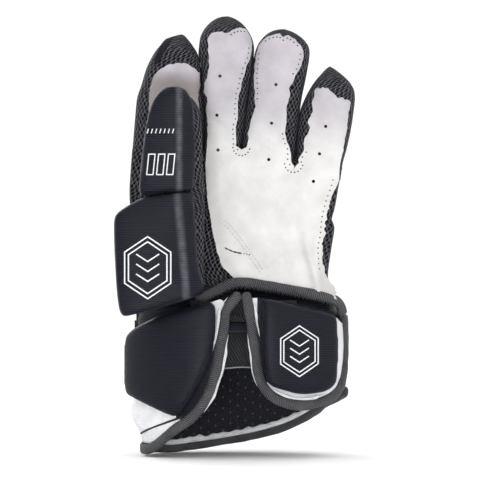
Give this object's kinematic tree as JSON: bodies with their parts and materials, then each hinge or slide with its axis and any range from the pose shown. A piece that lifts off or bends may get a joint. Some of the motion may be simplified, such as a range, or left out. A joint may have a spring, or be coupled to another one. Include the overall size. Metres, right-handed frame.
{
  "type": "ice hockey glove",
  "caption": "Left-hand ice hockey glove with padded fingers, thumb and back, a leather palm, mesh side walls and a split, padded cuff whose flaps open.",
  "frame": {"origin": "centre of the wrist opening, where the hand goes in", "axes": "+Z to the fingertips, -Y out of the palm, +X to the little finger's side"},
  "size_m": [0.1382, 0.1084, 0.2535],
  "materials": {
    "white_leather": "matt synthetic leather",
    "black_mesh": "open spacer knit",
    "navy_nylon": "fine ribbed nylon",
    "grey_foam": "closed-cell foam",
    "white_knit": "smooth knit",
    "charcoal_tape": "ribbed twill tape",
    "hard_plastic": "moulded sheet"
  },
  "bodies": {
    "hand": {"palm_leather": "white_leather", "hand_mesh": "black_mesh", "back_roll_1_cover": "navy_nylon", "back_roll_1_foam": "grey_foam", "back_roll_2_cover": "navy_nylon", "back_roll_2_foam": "grey_foam", "back_roll_3_cover": "navy_nylon", "back_roll_3_foam": "grey_foam", "wrist_binding": "charcoal_tape"},
    "index_base": {"index_base_leather": "white_leather", "index_base_stall": "black_mesh", "index_base_pad_cover": "navy_nylon", "index_base_pad_foam": "grey_foam"},
    "index_tip": {"index_tip_leather": "white_leather", "index_tip_stall": "black_mesh", "index_tip_pad_cover": "navy_nylon", "index_tip_pad_foam": "grey_foam"},
    "middle_base": {"middle_base_leather": "white_leather", "middle_base_stall": "black_mesh", "middle_base_pad_cover": "navy_nylon", "middle_base_pad_foam": "grey_foam"},
    "middle_tip": {"middle_tip_leather": "white_leather", "middle_tip_stall": "black_mesh", "middle_tip_pad_cover": "navy_nylon", "middle_tip_pad_foam": "grey_foam"},
    "ring_base": {"ring_base_leather": "white_leather", "ring_base_stall": "black_mesh", "ring_base_pad_cover": "navy_nylon", "ring_base_pad_foam": "grey_foam"},
    "ring_tip": {"ring_tip_leather": "white_leather", "ring_tip_stall": "black_mesh", "ring_tip_pad_cover": "navy_nylon", "ring_tip_pad_foam": "grey_foam"},
    "pinky_base": {"pinky_base_leather": "white_leather", "pinky_base_stall": "black_mesh", "pinky_base_pad_cover": "navy_nylon", "pinky_base_pad_foam": "grey_foam"},
    "pinky_tip": {"pinky_tip_leather": "white_leather", "pinky_tip_stall": "black_mesh", "pinky_tip_pad_cover": "navy_nylon", "pinky_tip_pad_foam": "grey_foam"},
    "thumb_base": {"thumb_base_mesh": "black_mesh", "thumb_base_pad_cover": "navy_nylon", "thumb_base_pad_foam": "grey_foam"},
    "thumb_tip": {"thumb_tip_mesh": "black_mesh", "thumb_tip_leather": "white_leather", "thumb_shield": "hard_plastic", "thumb_tip_pad_cover": "navy_nylon", "thumb_tip_pad_foam": "grey_foam"},
    "cuff": {"cuff_back_cloth": "white_knit", "cuff_back_binding": "charcoal_tape", "cuff_back_pad_cover": "navy_nylon", "cuff_back_pad_foam": "grey_foam", "slit_elastic": "black_mesh"},
    "thumb_flap": {"thumb_flap_cloth": "white_knit", "thumb_flap_pad": "navy_nylon", "thumb_flap_binding": "charcoal_tape"},
    "pinky_flap": {"pinky_flap_cloth": "white_knit", "pinky_flap_pad": "navy_nylon", "pinky_flap_binding": "charcoal_tape"}
  },
  "joints": [
    {"name": "wrist", "type": "hinge", "parent": "hand", "child": "cuff", "pos_m": [0, -0.03, 0.002], "axis": [1, 0, 0], "range_deg": [-12, 8], "stiffness_Nm_per_rad": 1.5},
    {"name": "thumb_swing", "type": "hinge", "parent": "hand", "child": "thumb_base", "pos_m": [-0.05, -0.03, -0.001], "axis": [0, -1, 0], "range_deg": [0, 20], "stiffness_Nm_per_rad": 0.5},
    {"name": "thumb_tip_flex", "type": "hinge", "parent": "thumb_base", "child": "thumb_tip", "pos_m": [-0.04, -0.027, 0.0626], "axis": [-1, 0, 0], "range_deg": [0, 6], "stiffness_Nm_per_rad": 0.5},
    {"name": "index_knuckle", "type": "hinge", "parent": "hand", "child": "index_base", "pos_m": [-0.04289, -0.014, 0.08715], "axis": [0.9962, 0, -0.0872], "range_deg": [0, 12], "stiffness_Nm_per_rad": 0.15},
    {"name": "index_middle_joint", "type": "hinge", "parent": "index_base", "child": "index_tip", "pos_m": [-0.03992, -0.014, 0.12102], "axis": [0.9962, 0, -0.0872], "range_deg": [0, 50], "stiffness_Nm_per_rad": 0.1},
    {"name": "middle_knuckle", "type": "hinge", "parent": "hand", "child": "middle_base", "pos_m": [-0.01046, -0.014, 0.08432], "axis": [0.9962, 0, -0.0872], "range_deg": [0, 50], "stiffness_Nm_per_rad": 0.15},
    {"name": "middle_middle_joint", "type": "hinge", "parent": "middle_base", "child": "middle_tip", "pos_m": [-0.00697, -0.014, 0.12416], "axis": [0.9962, 0, -0.0872], "range_deg": [0, 50], "stiffness_Nm_per_rad": 0.1},
    {"name": "ring_knuckle", "type": "hinge", "parent": "hand", "child": "ring_base", "pos_m": [0.01569, -0.014, 0.08203], "axis": [0.9962, 0, -0.0872], "range_deg": [0, 50], "stiffness_Nm_per_rad": 0.15},
    {"name": "ring_middle_joint", "type": "hinge", "parent": "ring_base", "child": "ring_tip", "pos_m": [0.019, -0.014, 0.11988], "axis": [0.9962, 0, -0.0872], "range_deg": [0, 50], "stiffness_Nm_per_rad": 0.1},
    {"name": "pinky_knuckle", "type": "hinge", "parent": "hand", "child": "pinky_base", "pos_m": [0.04523, -0.014, 0.07944], "axis": [0.9962, 0, -0.0872], "range_deg": [0, 50], "stiffness_Nm_per_rad": 0.15},
    {"name": "pinky_middle_joint", "type": "hinge", "parent": "pinky_base", "child": "pinky_tip", "pos_m": [0.04767, -0.014, 0.10734], "axis": [0.9962, 0, -0.0872], "range_deg": [0, 50], "stiffness_Nm_per_rad": 0.1},
    {"name": "thumb_flap_open", "type": "hinge", "parent": "cuff", "child": "thumb_flap", "pos_m": [-0.0605, -0.006, -0.04], "axis": [0, 0, -1], "range_deg": [0, 18], "stiffness_Nm_per_rad": 0.2},
    {"name": "pinky_flap_open", "type": "hinge", "parent": "cuff", "child": "pinky_flap", "pos_m": [0.0605, -0.006, -0.03], "axis": [0, 0, 1], "range_deg": [0, 25], "stiffness_Nm_per_rad": 0.2}
  ]
}
